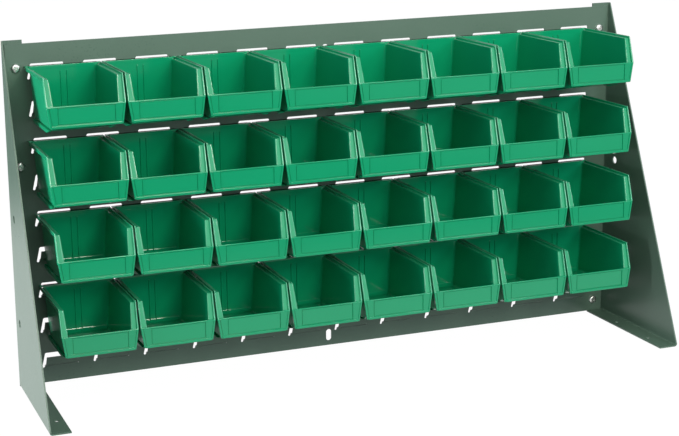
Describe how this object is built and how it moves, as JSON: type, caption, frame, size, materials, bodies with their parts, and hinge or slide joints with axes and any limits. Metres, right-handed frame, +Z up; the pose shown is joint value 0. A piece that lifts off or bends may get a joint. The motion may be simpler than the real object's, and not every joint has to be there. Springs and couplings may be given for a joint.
{
  "type": "bench bin rack",
  "caption": "Free-standing bench rack: a louvred steel panel between two bent end brackets, with open-front moulded bins that hang on the louvres and lift off.",
  "frame": {"origin": "on the bench, under the middle of the whole rack", "axes": "+X across the rack to the right as seen from the front, -Y to the front where the bins open, +Z up"},
  "size_m": [0.9272, 0.2102, 0.4826],
  "materials": {
    "rack_paint": "satin grey-green",
    "bin_plastic": "gloss green",
    "zinc": "bright zinc"
  },
  "bodies": {
    "rack": {"louvered_panel": "rack_paint", "left_bracket": "rack_paint", "right_bracket": "rack_paint", "panel_screws": "zinc", "panel_nuts": "zinc"},
    "bin_r1_c1": {"bin_r1_c1": "bin_plastic"},
    "bin_r1_c2": {"bin_r1_c2": "bin_plastic"},
    "bin_r1_c3": {"bin_r1_c3": "bin_plastic"},
    "bin_r1_c4": {"bin_r1_c4": "bin_plastic"},
    "bin_r1_c5": {"bin_r1_c5": "bin_plastic"},
    "bin_r1_c6": {"bin_r1_c6": "bin_plastic"},
    "bin_r1_c7": {"bin_r1_c7": "bin_plastic"},
    "bin_r1_c8": {"bin_r1_c8": "bin_plastic"},
    "bin_r2_c1": {"bin_r2_c1": "bin_plastic"},
    "bin_r2_c2": {"bin_r2_c2": "bin_plastic"},
    "bin_r2_c3": {"bin_r2_c3": "bin_plastic"},
    "bin_r2_c4": {"bin_r2_c4": "bin_plastic"},
    "bin_r2_c5": {"bin_r2_c5": "bin_plastic"},
    "bin_r2_c6": {"bin_r2_c6": "bin_plastic"},
    "bin_r2_c7": {"bin_r2_c7": "bin_plastic"},
    "bin_r2_c8": {"bin_r2_c8": "bin_plastic"},
    "bin_r3_c1": {"bin_r3_c1": "bin_plastic"},
    "bin_r3_c2": {"bin_r3_c2": "bin_plastic"},
    "bin_r3_c3": {"bin_r3_c3": "bin_plastic"},
    "bin_r3_c4": {"bin_r3_c4": "bin_plastic"},
    "bin_r3_c5": {"bin_r3_c5": "bin_plastic"},
    "bin_r3_c6": {"bin_r3_c6": "bin_plastic"},
    "bin_r3_c7": {"bin_r3_c7": "bin_plastic"},
    "bin_r3_c8": {"bin_r3_c8": "bin_plastic"},
    "bin_r4_c1": {"bin_r4_c1": "bin_plastic"},
    "bin_r4_c2": {"bin_r4_c2": "bin_plastic"},
    "bin_r4_c3": {"bin_r4_c3": "bin_plastic"},
    "bin_r4_c4": {"bin_r4_c4": "bin_plastic"},
    "bin_r4_c5": {"bin_r4_c5": "bin_plastic"},
    "bin_r4_c6": {"bin_r4_c6": "bin_plastic"},
    "bin_r4_c7": {"bin_r4_c7": "bin_plastic"},
    "bin_r4_c8": {"bin_r4_c8": "bin_plastic"}
  },
  "joints": [
    {"name": "bin_r1_c1_lift", "type": "slide", "parent": "rack", "child": "bin_r1_c1", "axis": [0, 0, 1], "range_m": [0, 0.012]},
    {"name": "bin_r1_c2_lift", "type": "slide", "parent": "rack", "child": "bin_r1_c2", "axis": [0, 0, 1], "range_m": [0, 0.012]},
    {"name": "bin_r1_c3_lift", "type": "slide", "parent": "rack", "child": "bin_r1_c3", "axis": [0, 0, 1], "range_m": [0, 0.012]},
    {"name": "bin_r1_c4_lift", "type": "slide", "parent": "rack", "child": "bin_r1_c4", "axis": [0, 0, 1], "range_m": [0, 0.012]},
    {"name": "bin_r1_c5_lift", "type": "slide", "parent": "rack", "child": "bin_r1_c5", "axis": [0, 0, 1], "range_m": [0, 0.012]},
    {"name": "bin_r1_c6_lift", "type": "slide", "parent": "rack", "child": "bin_r1_c6", "axis": [0, 0, 1], "range_m": [0, 0.012]},
    {"name": "bin_r1_c7_lift", "type": "slide", "parent": "rack", "child": "bin_r1_c7", "axis": [0, 0, 1], "range_m": [0, 0.012]},
    {"name": "bin_r1_c8_lift", "type": "slide", "parent": "rack", "child": "bin_r1_c8", "axis": [0, 0, 1], "range_m": [0, 0.012]},
    {"name": "bin_r2_c1_lift", "type": "slide", "parent": "rack", "child": "bin_r2_c1", "axis": [0, 0, 1], "range_m": [0, 0.012]},
    {"name": "bin_r2_c2_lift", "type": "slide", "parent": "rack", "child": "bin_r2_c2", "axis": [0, 0, 1], "range_m": [0, 0.012]},
    {"name": "bin_r2_c3_lift", "type": "slide", "parent": "rack", "child": "bin_r2_c3", "axis": [0, 0, 1], "range_m": [0, 0.012]},
    {"name": "bin_r2_c4_lift", "type": "slide", "parent": "rack", "child": "bin_r2_c4", "axis": [0, 0, 1], "range_m": [0, 0.012]},
    {"name": "bin_r2_c5_lift", "type": "slide", "parent": "rack", "child": "bin_r2_c5", "axis": [0, 0, 1], "range_m": [0, 0.012]},
    {"name": "bin_r2_c6_lift", "type": "slide", "parent": "rack", "child": "bin_r2_c6", "axis": [0, 0, 1], "range_m": [0, 0.012]},
    {"name": "bin_r2_c7_lift", "type": "slide", "parent": "rack", "child": "bin_r2_c7", "axis": [0, 0, 1], "range_m": [0, 0.012]},
    {"name": "bin_r2_c8_lift", "type": "slide", "parent": "rack", "child": "bin_r2_c8", "axis": [0, 0, 1], "range_m": [0, 0.012]},
    {"name": "bin_r3_c1_lift", "type": "slide", "parent": "rack", "child": "bin_r3_c1", "axis": [0, 0, 1], "range_m": [0, 0.012]},
    {"name": "bin_r3_c2_lift", "type": "slide", "parent": "rack", "child": "bin_r3_c2", "axis": [0, 0, 1], "range_m": [0, 0.012]},
    {"name": "bin_r3_c3_lift", "type": "slide", "parent": "rack", "child": "bin_r3_c3", "axis": [0, 0, 1], "range_m": [0, 0.012]},
    {"name": "bin_r3_c4_lift", "type": "slide", "parent": "rack", "child": "bin_r3_c4", "axis": [0, 0, 1], "range_m": [0, 0.012]},
    {"name": "bin_r3_c5_lift", "type": "slide", "parent": "rack", "child": "bin_r3_c5", "axis": [0, 0, 1], "range_m": [0, 0.012]},
    {"name": "bin_r3_c6_lift", "type": "slide", "parent": "rack", "child": "bin_r3_c6", "axis": [0, 0, 1], "range_m": [0, 0.012]},
    {"name": "bin_r3_c7_lift", "type": "slide", "parent": "rack", "child": "bin_r3_c7", "axis": [0, 0, 1], "range_m": [0, 0.012]},
    {"name": "bin_r3_c8_lift", "type": "slide", "parent": "rack", "child": "bin_r3_c8", "axis": [0, 0, 1], "range_m": [0, 0.012]},
    {"name": "bin_r4_c1_lift", "type": "slide", "parent": "rack", "child": "bin_r4_c1", "axis": [0, 0, 1], "range_m": [0, 0.012]},
    {"name": "bin_r4_c2_lift", "type": "slide", "parent": "rack", "child": "bin_r4_c2", "axis": [0, 0, 1], "range_m": [0, 0.012]},
    {"name": "bin_r4_c3_lift", "type": "slide", "parent": "rack", "child": "bin_r4_c3", "axis": [0, 0, 1], "range_m": [0, 0.012]},
    {"name": "bin_r4_c4_lift", "type": "slide", "parent": "rack", "child": "bin_r4_c4", "axis": [0, 0, 1], "range_m": [0, 0.012]},
    {"name": "bin_r4_c5_lift", "type": "slide", "parent": "rack", "child": "bin_r4_c5", "axis": [0, 0, 1], "range_m": [0, 0.012]},
    {"name": "bin_r4_c6_lift", "type": "slide", "parent": "rack", "child": "bin_r4_c6", "axis": [0, 0, 1], "range_m": [0, 0.012]},
    {"name": "bin_r4_c7_lift", "type": "slide", "parent": "rack", "child": "bin_r4_c7", "axis": [0, 0, 1], "range_m": [0, 0.012]},
    {"name": "bin_r4_c8_lift", "type": "slide", "parent": "rack", "child": "bin_r4_c8", "axis": [0, 0, 1], "range_m": [0, 0.012]}
  ]
}
